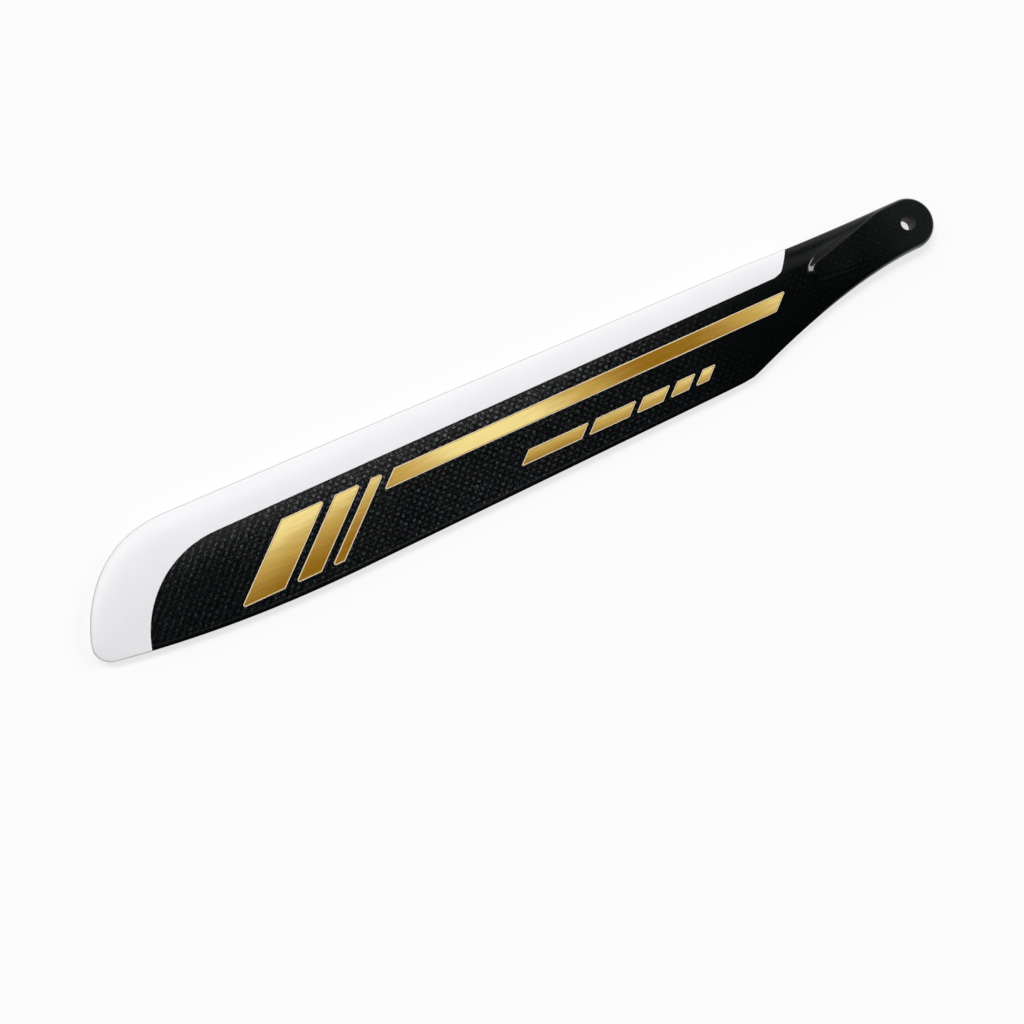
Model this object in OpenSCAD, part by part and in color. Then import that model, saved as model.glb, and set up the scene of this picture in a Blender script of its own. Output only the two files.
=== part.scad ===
// Main rotor blade of a large model helicopter.
// One moulded carbon piece: a symmetric airfoil blade that blends into a flat root tab with one bolt hole.
// A white coat wraps the leading edge and the tip, and gold foil trim lies on the upper face.
// Origin at the centre of the bolt hole, +X along the span, +Y towards the trailing edge, +Z up.

/* [Planform] */
// Distance from the bolt hole to the farthest point of the tip
span = 601; // [520:1:700]
// Distance from the bolt hole to the start of the full chord
root_len = 143.5; // [115:0.5:170]
// Sideways distance from the bolt hole's line to the leading edge, where the full chord starts
le_y = 20.5; // [19.5:0.1:24]
// Distance from the bolt hole at which the leading edge has widened out of the tab
le_flare_len = 110; // [90:1:130]
// Chord where the full chord starts
chord_root = 71; // [62:0.2:84]
// Chord that the straight edges would reach at the end of the tip
chord_tip = 87.3; // [76:0.1:98]

/* [Tip] */
// Length over which the leading edge sweeps back
le_sweep_len = 79.5; // [60:0.5:110]
// Sideways place of the tip's farthest point, from the bolt hole's line
tip_point_y = 32.6; // [24:0.2:36]
// Length over which the trailing edge draws in
te_draw_len = 175; // [110:1:190]
// How far the trailing edge draws in at the tip
te_draw = 16.7; // [8:0.1:20]
// Length of the rounded trailing corner
tip_corner_len = 9.5; // [8:0.5:20]

/* [Section] */
// Greatest thickness of the airfoil
blade_t = 8.4; // [6.5:0.1:10]
// Thickness of the trailing edge
te_t = 0.6; // [0.4:0.05:1.2]

/* [Root] */
// Width of the root tab
root_w = 35.2; // [32:0.2:38]
// Distance from the bolt hole to the centre of the tab's round end
root_end_set = 2; // [0:0.1:4]
// Thickness of the root tab, between the two clamped faces
root_t = 12; // [11:0.1:15]
// Rounding of the tab's rim
root_edge_r = 3; // [1.5:0.1:4]
// Length over which the tab's section turns into the airfoil
root_fair_len = 115; // [90:1:140]
// Width of the slope from the tab's face to the leading edge, at the end of the pad
le_slope_w = 13; // [6:0.5:16]
// Diameter of the bolt hole
bolt_d = 9; // [5:0.1:12]
// Chamfer at both mouths of the bolt hole
bolt_chamfer = 0.5; // [0.2:0.1:1.2]

/* [Root pad] */
// Distance from the bolt hole to the end of the raised pad
pad_len = 76; // [60:1:95]
// Radius of the pad's nose
pad_nose_r = 5; // [3:0.5:8]
// Sideways place of the pad's nose
pad_nose_y = 4; // [0:0.5:8]
// Distance from the bolt hole to the pad's shoulder, from where it narrows to the nose
pad_shoulder_x = 14; // [6:0.5:24]
// Width of the bevel round the pad
pad_bevel = 2.4; // [1:0.1:3]
// Height of the bevel round the pad
pad_bevel_h = 1.8; // [1:0.1:2.4]
// How much farther the bevel reaches on the leading side of the nose
pad_flank_w = 4; // [0:0.5:6]

/* [White coat] */
// Thickness of the coat at the leading edge
coat_t = 0.2; // [0.1:0.05:0.4]
// Sideways place of the coat's straight inner edge
coat_edge_y = -3.5; // [-8:0.5:0]
// Distance from the bolt hole to the coat's root end, at the leading edge
coat_start_x = 84; // [78:1:110]
// How much farther out the root end is at the coat's inner edge
coat_start_slant = 12; // [4:1:24]
// How far the rounded corner runs along the inner edge
coat_corner_len = 5; // [0:0.5:8]
// Distance from the tip at which the inner edge turns across the blade
coat_turn_len = 98; // [88:1:120]
// Radius of that turn
coat_turn_r = 68; // [45:1:75]

/* [Gold foil] */
// Thickness of the foil
foil_t = 0.15; // [0.1:0.05:0.3]
// Sideways place of the long stripe's edge nearest the coat
stripe_y = 6.9; // [3:0.1:12]
// Width of the long stripe
stripe_w = 10.3; // [6:0.1:14]
// Distance from the bolt hole to the long stripe's root end
stripe_start_x = 98; // [94:1:130]
// Lean of every foil end: how far it runs along the span for each millimetre across
foil_lean = 1.15; // [0.6:0.05:1.4]
// Distance from the tip to the nearest slanted bar
bars_from_tip = 92; // [84:1:120]
// Widths of the slanted bars along the span, from the tip inwards
bar_widths = [30, 18, 9];
// Gap between neighbouring bars, and between the bars and the stripe
bar_gap = 7; // [4:0.5:12]
// Height of the slanted bars across the blade
bar_h = 40; // [20:0.5:42]
// Distance from the bolt hole to the row of dashes
dash_start_x = 163; // [150:1:220]
// Lengths of the dashes, from the root outwards
dash_lengths = [10, 14, 20, 30, 44];
// Gap between neighbouring dashes
dash_gap = 5; // [3:0.5:10]
// Sideways place of the dashes' edge nearest the stripe
dash_y = 31.5; // [26:0.5:36]
// Height of the dashes across the blade
dash_h = 8; // [3:0.5:10]

/* [Hidden] */
$fn = 64;
carbon_colour = [0.07, 0.07, 0.08];
white_colour = [0.93, 0.93, 0.95];
gold_colour = [0.80, 0.62, 0.20];

root_r = root_w / 2;
edge_taper = (chord_tip - chord_root) / 2 / (span - root_len);
// Clearance between a coat or foil and the facets that carry it, on a face and round the sharp nose
film_gap = 0.03;
nose_gap = 0.12;
// Share of its thickness that the coat keeps at its inner edge
coat_feather = 0.2;
// How soon the coat turns from the nose to the face: the higher, the sooner
coat_nose_turn = 2;
// How far the loft stays below the pad's flat faces, where the tab begins
pad_proud = 0.4;
// Exponents of the curves that widen the tab to the full chord, on the trailing and the leading side
flare_power = 1.63;
le_flare_power = 3;
// Distances over which those curves run into the straight edges
flare_round = 1.5;
le_flare_round = 0.2;
// Exponent of the leading slope's section: 1 is flat and 2 is round
le_slope_power = 1.6;
// How sharply the coat's root end turns into its inner edge
coat_corner_power = 14;
// Exponents of the leading edge's sweep at the tip
sweep_in = 2.55;
sweep_out = 0.74;
// Exponent of the trailing edge's draw at the tip
draw_power = 2.15;
// How fast the thickness follows the chord at the tip
tip_thin_power = 0.9;

// Stations along the span and points across each face of the loft
root_steps = 18;
mid_steps = 8;
tip_steps = 20;
face_steps = 22;

// Ribs and points of the coat
coat_edge_ribs = 14;
coat_tip_ribs = 18;
coat_corner_ribs = 4;
coat_steps = 10;
// How much closer together the ribs are at the root end
coat_crowd = 1.5;
// Longest steps of a foil piece along and across the blade
foil_step_along = 20;
foil_step_across = 6;

function clamp01(t) = min(1, max(0, t));
function smooth(t) = let (u = clamp01(t)) u * u * (3 - 2 * u);
function mix(a, b, t) = a + (b - a) * t;

// Outline of the blade, seen from above
function straight_le(x) = -le_y - edge_taper * (x - root_len);
function straight_chord(x) = chord_root + 2 * edge_taper * (x - root_len);
function straight_te(x) = straight_le(x) + straight_chord(x);

function sweep(x) =
    let (u = clamp01((x - span + le_sweep_len) / le_sweep_len))
    1 - pow(1 - pow(u, sweep_in), sweep_out);
// Half width that grows from the tab's to a wider one over a length from the bolt hole
function flare(x, wide, length, power) = root_r + (wide - root_r) * pow(max(0, x) / length, power);
function rounded_min(a, b, r) = (a + b - sqrt((a - b) * (a - b) + r * r)) / 2;
function root_le(x) =
    let (wide = flare(x, -straight_le(le_flare_len), le_flare_len, le_flare_power))
    -rounded_min(wide, -straight_le(x), le_flare_round);
function le(x) = mix(root_le(x), tip_point_y, sweep(x));

function root_te(x) =
    let (wide = flare(x, straight_te(root_len), root_len, flare_power))
    rounded_min(wide, drawn_te(x), flare_round);
function drawn_te(x) =
    straight_te(x) - te_draw * pow(clamp01((x - span + te_draw_len) / te_draw_len), draw_power);
function corner(x) =
    let (u = clamp01((x - span + tip_corner_len) / tip_corner_len))
    1 - sqrt(1 - u * u);
function te(x) = mix(root_te(x), tip_point_y, corner(x));
function chord(x) = te(x) - le(x);

// Half thickness of the blade at a place seen from above
function airfoil(v) =
    5 * (0.2969 * sqrt(v) - 0.1260 * v - 0.3516 * v * v + 0.2843 * pow(v, 3) - 0.1036 * pow(v, 4));
function tip_thin(x) =
    x < root_len ? 1 : pow(clamp01(chord(x) / straight_chord(x)), tip_thin_power);
function airfoil_half(x, v) = tip_thin(x) * blade_t * airfoil(v);
function te_half(x, v) = tip_thin(x) * te_t / 2 * v;
// Share of the tab's height at a distance d inside an edge that is rounded over a width
function rim(d, width, power) = let (u = clamp01(d / width)) pow(1 - pow(1 - u, power), 1 / power);
function le_slope(x) = smooth(x / pad_len);
function le_rim(x, d) =
    rim(d, mix(root_edge_r, le_slope_w, le_slope(x)), mix(2, le_slope_power, le_slope(x)));
function te_rim(d) = rim(d, root_edge_r, 2);
function tab_half(x, v) =
    (root_t / 2 - pad_proud) * min(le_rim(x, v * chord(x)), te_rim((1 - v) * chord(x)));
function fairing(x) = smooth(x / root_fair_len);
function half_at(x, v) = mix(tab_half(x, v), airfoil_half(x, v), fairing(x)) + te_half(x, v);
function half(x, y) = half_at(x, clamp01((y - le(x)) / max(chord(x), 0.001)));

// Stations of the loft, closer together at the root and at the tip
stations = concat(
    [for (i = [0 : root_steps - 1]) mix(-root_end_set, root_len, i / root_steps)],
    [for (i = [0 : mid_steps - 1]) mix(root_len, span - te_draw_len, i / mid_steps)],
    [for (i = [0 : tip_steps - 1]) span - te_draw_len * (1 - sin(90 * i / tip_steps))]
);

// Share of the chord at point j: even round both edges of the tab, crowded at the airfoil's nose
function share(x, j) =
    let (u = j / face_steps)
    mix((1 - cos(180 * u)) / 2, u * u, fairing(x));

// One section: over the upper face to the trailing edge and back under the lower face
function section(x) = [
    for (j = [0 : face_steps]) [x, mix(le(x), te(x), share(x, j)), half_at(x, share(x, j))],
    for (j = [face_steps : -1 : 1]) [x, mix(le(x), te(x), share(x, j)), -half_at(x, share(x, j))]
];

module blade_loft() {
    ring = 2 * face_steps + 1;
    last = len(stations) - 1;
    apex = len(stations) * ring;
    points = concat([for (x = stations) each section(x)], [[span, tip_point_y, 0]]);
    sides = [
        for (i = [0 : last - 1], j = [0 : ring - 1])
            let (a = i * ring + j, b = i * ring + (j + 1) % ring)
            each [[a, b, a + ring], [b, b + ring, a + ring]]
    ];
    tip = [for (j = [0 : ring - 1]) [last * ring + j, last * ring + (j + 1) % ring, apex]];
    cap = [[for (j = [ring - 1 : -1 : 0]) j]];
    polyhedron(points, concat(cap, sides, tip));
}

// Round end of the tab, with a rounded rim
module root_end() {
    translate([-root_end_set, 0, 0])
        rotate_extrude()
            union() {
                translate([0, -root_t / 2])
                    square([root_r - root_edge_r, root_t]);
                translate([0, root_edge_r - root_t / 2])
                    square([root_r, root_t - 2 * root_edge_r]);
                for (side = [-1, 1])
                    translate([root_r - root_edge_r, side * (root_t / 2 - root_edge_r)])
                        circle(r = root_edge_r);
            }
}

// Outline of the pad, grown all round and moved out on the leading side of its nose
module pad_outline(grow, flank) {
    hull() {
        for (x = [-root_end_set, pad_shoulder_x])
            translate([x, 0])
                circle(r = root_r - root_edge_r, $fn = 48);
        for (y = [pad_nose_y, pad_nose_y - flank])
            translate([pad_len - pad_nose_r, y])
                circle(r = pad_nose_r + grow, $fn = 32);
    }
}

// Flat tongue that the blade holder clamps, with a bevel down to the blade
module root_pad() {
    hull() {
        linear_extrude(root_t, center = true)
            pad_outline(0, 0);
        linear_extrude(root_t - 2 * pad_bevel_h, center = true)
            pad_outline(pad_bevel, pad_flank_w);
    }
}

module bolt_hole() {
    reach = root_t / 2 + 1;
    cylinder(d = bolt_d, h = 2 * reach, center = true);
    for (side = [0, 180])
        rotate([side, 0, 0])
            translate([0, 0, root_t / 2 - bolt_chamfer])
                cylinder(d1 = bolt_d, d2 = bolt_d + 2 * (bolt_chamfer + 1), h = bolt_chamfer + 1);
}

module blade() {
    color(carbon_colour)
        difference() {
            union() {
                blade_loft();
                root_end();
                root_pad();
            }
            bolt_hole();
        }
}

// Closed solid between an outer and an inner sheet, each a grid of rows with as many points
module shell(outer, inner) {
    rows = len(outer);
    cols = len(outer[0]);
    points = [for (sheet = [outer, inner], row = sheet, p = row) p];
    low = rows * cols;
    faces = [
        for (i = [0 : rows - 2], j = [0 : cols - 2])
            let (a = i * cols + j, b = a + 1, c = a + cols, d = c + 1)
            each [[a, b, c], [b, d, c], [low + a, low + c, low + b], [low + b, low + c, low + d]]
    ];
    ends = [
        for (i = [0, rows - 1], j = [0 : cols - 2])
            let (a = i * cols + j, b = a + 1, flip = i > 0)
            each flip
                ? [[a, b, low + b], [a, low + b, low + a]]
                : [[a, low + b, b], [a, low + a, low + b]]
    ];
    edges = [
        for (i = [0 : rows - 2], j = [0, cols - 1])
            let (a = i * cols + j, c = a + cols, flip = j > 0)
            each flip
                ? [[a, low + c, c], [a, low + a, low + c]]
                : [[a, c, low + c], [a, low + c, low + a]]
    ];
    polyhedron(points, concat(faces, ends, edges));
}

// The coat's inner edge across the tip: a turn, then straight on towards the trailing edge
coat_turn_x = span - coat_turn_len;
function turn_x(y) =
    let (d = min(coat_turn_r, y - coat_edge_y))
    coat_turn_x + sqrt(coat_turn_r * coat_turn_r - pow(coat_turn_r - d, 2));
function turn_end(low, high, n) =
    let (middle = (low + high) / 2)
    n == 0 ? middle
    : middle < te(turn_x(middle)) ? turn_end(middle, high, n - 1)
    : turn_end(low, middle, n - 1);
turn_end_y = turn_end(coat_edge_y, straight_te(span), 24);

// Ribs of the coat, each from the blade's outline to the coat's inner edge, with the length of its corner
edge_ribs = [
    for (i = [0 : coat_edge_ribs - 1])
        let (t = pow(i / coat_edge_ribs, coat_crowd), x = mix(coat_start_x, coat_turn_x, t))
        [[x, le(x)], [mix(coat_start_x + coat_start_slant + coat_corner_len, coat_turn_x, t), coat_edge_y],
         coat_corner_len * pow(1 - t, 8)]
];
around_ribs = coat_tip_ribs + coat_corner_ribs;
tip_ribs = [
    for (i = [0 : around_ribs])
        let (
            t = i / around_ribs,
            y = mix(coat_edge_y, turn_end_y, t * t),
            back = max(0, i - coat_tip_ribs) / coat_corner_ribs,
            x = i <= coat_tip_ribs
                ? coat_turn_x + coat_turn_len * sin(90 * i / coat_tip_ribs)
                : span - tip_corner_len * (1 - cos(90 * back))
        )
        [[x, i <= coat_tip_ribs ? le(x) : te(x)], [turn_x(y), y], 0]
];
ribs = concat(edge_ribs, tip_ribs);

// One rib of a coat sheet of thickness t: along the lower face, round the outline and back above.
// It rises from the blade along the face's normal, which turns from level at the nose to upright.
function coat_row(rib, t) =
    let (way = rib[0] - rib[1], out = way / norm(way))
    [
        for (j = [-coat_steps : coat_steps])
            let (
                u = abs(j) / coat_steps,
                n = u * u,
                p = mix(rib[0], rib[1], n) - [rib[2] * (n - pow(n, coat_corner_power)), 0],
                turn = min(1, coat_nose_turn * u),
                lift = mix(nose_gap, film_gap, turn) + t * mix(1, coat_feather, n),
                q = p + out * lift * sqrt(1 - turn * turn)
            )
            [q[0], q[1], sign(j) * (half(p[0], p[1]) + lift * turn)]
    ];

module white_coat() {
    color(white_colour)
        shell(
            [for (rib = ribs) coat_row(rib, coat_t)],
            [for (rib = ribs) coat_row(rib, 0)]
        );
}

// A flat parallelogram of foil laid on the upper face, with leaning ends
module foil(x, y, length, height) {
    steps_along = ceil(length / foil_step_along);
    steps_across = ceil(height / foil_step_across);
    function sheet(rise) = [
        for (i = [0 : steps_along]) [
            for (j = [0 : steps_across])
                let (
                    across = height * j / steps_across,
                    p = [x + length * i / steps_along + foil_lean * across, y + across]
                )
                [p[0], p[1], half(p[0], p[1]) + rise]
        ]
    ];
    shell(sheet(film_gap + foil_t), sheet(film_gap));
}

function sum_to(list, n) = n == 0 ? 0 : list[n - 1] + sum_to(list, n - 1);

// Bars lean with the foil's ends, so their places are taken at the stripe's near edge
bars_total = sum_to(bar_widths, len(bar_widths)) + bar_gap * (len(bar_widths) - 1);
bars_start_x = span - bars_from_tip - bars_total - foil_lean * bar_h;

module gold_stripe() {
    color(gold_colour)
        foil(stripe_start_x, stripe_y, bars_start_x - bar_gap - stripe_start_x, stripe_w);
}

module gold_bars() {
    color(gold_colour)
        for (i = [0 : len(bar_widths) - 1])
            foil(
                bars_start_x + bars_total - sum_to(bar_widths, i + 1) - bar_gap * i,
                stripe_y, bar_widths[i], bar_h
            );
}

module gold_dashes() {
    color(gold_colour)
        for (i = [0 : len(dash_lengths) - 1])
            foil(dash_start_x + sum_to(dash_lengths, i) + dash_gap * i, dash_y, dash_lengths[i], dash_h);
}

blade();
white_coat();
gold_stripe();
gold_bars();
gold_dashes();
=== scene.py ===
"""Main rotor blade of a large model helicopter: carbon skin, white edge paint and gold foil trim.

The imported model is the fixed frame. Sizes are in millimetres, with the bolt hole at the origin, the span
along +X, the trailing edge towards +Y and the upper face towards +Z. Meshes are turned into metres as they
are made.
"""
import logging
import math
from abc import ABC, abstractmethod
from dataclasses import dataclass, field
from enum import Enum

import bmesh
import bpy
import numpy as np
from mathutils import Matrix, Vector
from mathutils.kdtree import KDTree


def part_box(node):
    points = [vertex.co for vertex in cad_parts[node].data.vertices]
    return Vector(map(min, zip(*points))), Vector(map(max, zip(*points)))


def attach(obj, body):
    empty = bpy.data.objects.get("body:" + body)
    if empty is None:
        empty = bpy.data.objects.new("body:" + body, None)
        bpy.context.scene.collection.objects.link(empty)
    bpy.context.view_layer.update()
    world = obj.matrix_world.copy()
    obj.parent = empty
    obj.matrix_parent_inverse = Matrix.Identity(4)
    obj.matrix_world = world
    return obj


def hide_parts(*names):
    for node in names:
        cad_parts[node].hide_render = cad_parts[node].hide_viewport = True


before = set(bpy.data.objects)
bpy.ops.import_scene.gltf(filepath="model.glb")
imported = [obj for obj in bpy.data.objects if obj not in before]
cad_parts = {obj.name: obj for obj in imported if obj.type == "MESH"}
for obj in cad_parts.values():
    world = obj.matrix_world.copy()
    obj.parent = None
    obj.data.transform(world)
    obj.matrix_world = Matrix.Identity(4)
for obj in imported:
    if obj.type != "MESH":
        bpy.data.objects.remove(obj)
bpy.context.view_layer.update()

MM = 0.001
BODY = "root"
MERGE_GAP = 1e-7
LEAST_CHORD = 1e-3
LEAST_LENGTH = 1e-9
ROOT_END_SET = 2.0
EDGE_GAP = "edge_gap"
NOISE_RANGE = (0.3, 0.7)
AIRFOIL_SCALE = 5.0
AIRFOIL_ROOT = 0.2969
AIRFOIL_POWERS = (-0.1260, -0.3516, 0.2843, -0.1036)

Array = np.ndarray
Range = tuple[float, float]
Triple = tuple[float, float, float]
Colour = Triple
Circle = Triple
Socket = bpy.types.NodeSocket

log = logging.getLogger("rotor_blade")


class Face(Enum):
    """The two faces of the blade, each with the sign of its height."""

    UPPER = 1.0
    LOWER = -1.0


class SkinZone(Enum):
    """Zones of the carbon skin, in the order of its material slots."""

    OUTSIDE = 0
    BORE = 1


class FoilLayer(Enum):
    """Zones of a foil panel, in the order of its material slots."""

    FIELD = 0
    EDGE = 1
    GROOVE = 2


def clamp01(t: Array) -> Array:
    """Limits values to the range from 0 to 1."""
    return np.clip(t, 0.0, 1.0)


def smooth(t: Array) -> Array:
    """Eases from 0 to 1 with level ends."""
    u = clamp01(t)
    return u * u * (3.0 - 2.0 * u)


def mix(a: Array, b: Array, t: Array) -> Array:
    """Goes from a to b as t goes from 0 to 1."""
    return a + (b - a) * t


def rounded_min(a: Array, b: Array, width: float) -> Array:
    """Smaller of two values, which run into each other over a width."""
    return (a + b - np.sqrt((a - b) ** 2 + width**2)) / 2.0


def along(points: Array, shares: Array) -> Array:
    """Points at given shares of a polyline's length.

    Args:
        points: The polyline, one point per row.
        shares: Shares of the whole length, from 0 to 1.

    Returns:
        One point per share.
    """
    steps = np.linalg.norm(np.diff(points, axis=0), axis=1)
    run = np.concatenate([[0.0], np.cumsum(steps)])
    wanted = shares * run[-1]
    return np.stack([np.interp(wanted, run, points[:, k]) for k in range(points.shape[1])], axis=1)


@dataclass(frozen=True)
class Planform:
    """Outline and section of the blade, without the root pad."""

    span: float
    root_r: float
    root_half: float
    end_set: float
    root_len: float = 143.5
    le_y: float = 20.5
    le_flare_len: float = 110.0
    chord_root: float = 71.0
    chord_tip: float = 87.3
    le_sweep_len: float = 79.5
    tip_point_y: float = 32.6
    te_draw_len: float = 175.0
    te_draw: float = 16.7
    te_inset: float = 0.03
    tip_corner_len: float = 9.5
    blade_t: float = 8.4
    te_t: float = 0.6
    te_start_len: float = 60.0
    rim_r: float = 3.0
    rim_power: float = 2.2
    slope_w: float = 15.0
    slope_len: float = 76.0
    slope_power: float = 1.3
    fair_len: float = 115.0
    pad_proud: float = 0.4
    proud_len: float = 30.0
    flare_power: float = 1.63
    le_flare_power: float = 3.0
    flare_round: float = 1.5
    le_flare_round: float = 0.2
    sweep_in: float = 2.55
    sweep_out: float = 0.74
    draw_power: float = 2.15
    tip_thin_power: float = 0.9

    @property
    def taper(self) -> float:
        """How much each straight edge moves out for each millimetre of span."""
        return (self.chord_tip - self.chord_root) / 2.0 / (self.span - self.root_len)

    def straight_le(self, x: Array) -> Array:
        """Leading edge before the tip's sweep."""
        return -self.le_y - self.taper * (x - self.root_len)

    def straight_chord(self, x: Array) -> Array:
        """Chord before the tip's sweep."""
        return self.chord_root + 2.0 * self.taper * (x - self.root_len)

    def straight_te(self, x: Array) -> Array:
        """Trailing edge before the tip draws it in."""
        return self.straight_le(x) + self.straight_chord(x)

    def to_tip(self, x: Array, length: float) -> Array:
        """Share of the way through the last stretch of the span."""
        return clamp01((x - self.span + length) / length)

    def flare(self, x: Array, wide: float, length: float, power: float) -> Array:
        """Half width that grows out of the tab, to a wide one at a length from the bolt hole."""
        return self.root_r + (wide - self.root_r) * (np.maximum(0.0, x) / length) ** power

    def leading_edge(self, x: Array) -> Array:
        """Sideways place of the leading edge.

        Args:
            x: Span stations.

        Returns:
            The edge's place, flared out of the tab and swept back at the tip.
        """
        wide = -self.straight_le(self.le_flare_len)
        flare = self.flare(x, wide, self.le_flare_len, self.le_flare_power)
        edge = -rounded_min(flare, -self.straight_le(x), self.le_flare_round)
        sweep = 1.0 - (1.0 - self.to_tip(x, self.le_sweep_len) ** self.sweep_in) ** self.sweep_out
        return mix(edge, self.tip_point_y, sweep)

    def trailing_edge(self, x: Array) -> Array:
        """Sideways place of the trailing edge.

        Args:
            x: Span stations.

        Returns:
            The edge's place, flared out of the tab and rounded into the tip.
        """
        flare = self.flare(x, self.straight_te(self.root_len), self.root_len, self.flare_power)
        drawn = self.straight_te(x) - self.te_draw * self.to_tip(x, self.te_draw_len) ** self.draw_power
        edge = rounded_min(flare, drawn - self.te_inset, self.flare_round)
        corner = 1.0 - np.sqrt(1.0 - self.to_tip(x, self.tip_corner_len) ** 2)
        return mix(edge, self.tip_point_y, corner)

    def chord(self, x: Array) -> Array:
        """Distance between the two edges."""
        return self.trailing_edge(x) - self.leading_edge(x)

    def fairing(self, x: Array) -> Array:
        """How far the tab's section has turned into the airfoil."""
        return smooth(x / self.fair_len)

    def rim(self, x: Array, le_inset: Array, te_inset: Array) -> Array:
        """Rounded rims of the tab, which turn into a broad slope on the leading side.

        Args:
            x: Span stations.
            le_inset: Distances from the leading edge.
            te_inset: Distances from the trailing edge.

        Returns:
            Share of the tab's half thickness.
        """
        power = self.rim_power
        slope = smooth(x / self.slope_len)
        le_power = mix(power, self.slope_power, slope)
        le_width = mix(self.rim_r, self.slope_w, slope)
        leading = (1.0 - (1.0 - clamp01(le_inset / le_width)) ** le_power) ** (1.0 / le_power)
        trailing = (1.0 - (1.0 - clamp01(te_inset / self.rim_r)) ** power) ** (1.0 / power)
        return np.minimum(leading, trailing)

    def half(self, x: Array, y: Array) -> Array:
        """Half thickness at places seen from above, beyond the centre of the round end.

        Args:
            x: Span stations.
            y: Sideways places.

        Returns:
            Half thickness, with the trailing edge's own thickness.
        """
        chord = np.maximum(self.chord(x), LEAST_CHORD)
        v = clamp01((y - self.leading_edge(x)) / chord)
        depth = AIRFOIL_ROOT * np.sqrt(v) + sum(k * v**n for n, k in enumerate(AIRFOIL_POWERS, 1))
        full = clamp01(chord / self.straight_chord(x)) ** self.tip_thin_power
        thin = np.where(x < self.root_len, 1.0, full)
        airfoil = thin * self.blade_t * AIRFOIL_SCALE * depth
        tab_top = self.root_half - self.pad_proud * smooth(x / self.proud_len)
        tab = tab_top * self.rim(x, v * chord, (1.0 - v) * chord)
        edge = thin * self.te_t / 2.0 * v * smooth(x / self.te_start_len)
        return mix(tab, airfoil, self.fairing(x)) + edge


@dataclass(frozen=True)
class RootPad:
    """Flat tongue that the blade holder clamps, with a flank that eases down to the blade."""

    wide_r: float
    end_x: float
    shoulder_x: float = 14.0
    nose: Circle = (69.5, 4.0, 5.0)
    tail_foot: Circle = (42.0, 3.0, 12.2)
    nose_foot: Circle = (71.3, 4.1, 7.9)
    corner_foot: Circle = (68.4, -2.0, 4.6)
    least_flank: float = 1.6
    ridge_power: float = 0.87

    @staticmethod
    def capsule(x: Array, y: Array, a: Circle, b: Circle) -> Array:
        """Distance to the hull of two circles.

        Args:
            x: Span stations.
            y: Sideways places.
            a: Centre and radius of the larger circle.
            b: Centre and radius of the smaller circle.

        Returns:
            Distances, below 0 inside.
        """
        gap = math.hypot(b[0] - a[0], b[1] - a[1])
        axis = ((b[0] - a[0]) / gap, (b[1] - a[1]) / gap)
        far = (x - a[0]) * axis[0] + (y - a[1]) * axis[1]
        off = np.abs((y - a[1]) * axis[0] - (x - a[0]) * axis[1])
        lean = (a[2] - b[2]) / gap
        rise = math.sqrt(1.0 - lean * lean)
        place = rise * far - lean * off
        side = rise * off + lean * far - a[2]
        start = np.hypot(far, off) - a[2]
        end = np.hypot(far - gap, off) - b[2]
        return np.where(place < 0.0, start, np.where(place > rise * gap, end, side))

    def outline(self, x: Array, y: Array, *noses: Circle) -> Array:
        """Distance to an outline from the round end round one or more further circles.

        Args:
            x: Span stations.
            y: Sideways places.
            noses: The further circles, in their order round the outline.

        Returns:
            Distances, below 0 inside.
        """
        end = (self.end_x, 0.0, self.wide_r)
        shoulder = (self.shoulder_x, 0.0, self.wide_r)
        pairs = [(end, shoulder), *((shoulder, nose) for nose in noses), *zip(noses, noses[1:])]
        return np.minimum.reduce([self.capsule(x, y, a, b) for a, b in pairs])

    def fall(self, x: Array, y: Array) -> Array:
        """How far the flank has come down from the flat face to the blade.

        Args:
            x: Span stations.
            y: Sideways places.

        Returns:
            Shares from 0 on the flat face to 1 beyond the foot.
        """
        over = self.outline(x, y, self.nose)
        under = self.outline(x, y, self.tail_foot, self.nose_foot, self.corner_foot)
        share = clamp01(over / np.maximum(over - under, self.least_flank))
        return smooth(share**self.ridge_power)


@dataclass(frozen=True)
class BladeForm:
    """The finished outer form: the planform with its pad."""

    plan: Planform
    pad: RootPad

    def half(self, x: Array, y: Array) -> Array:
        """Half thickness, which eases from the pad's flat face to the blade's own."""
        return mix(self.plan.root_half, self.plan.half(x, y), self.pad.fall(x, y))


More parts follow.
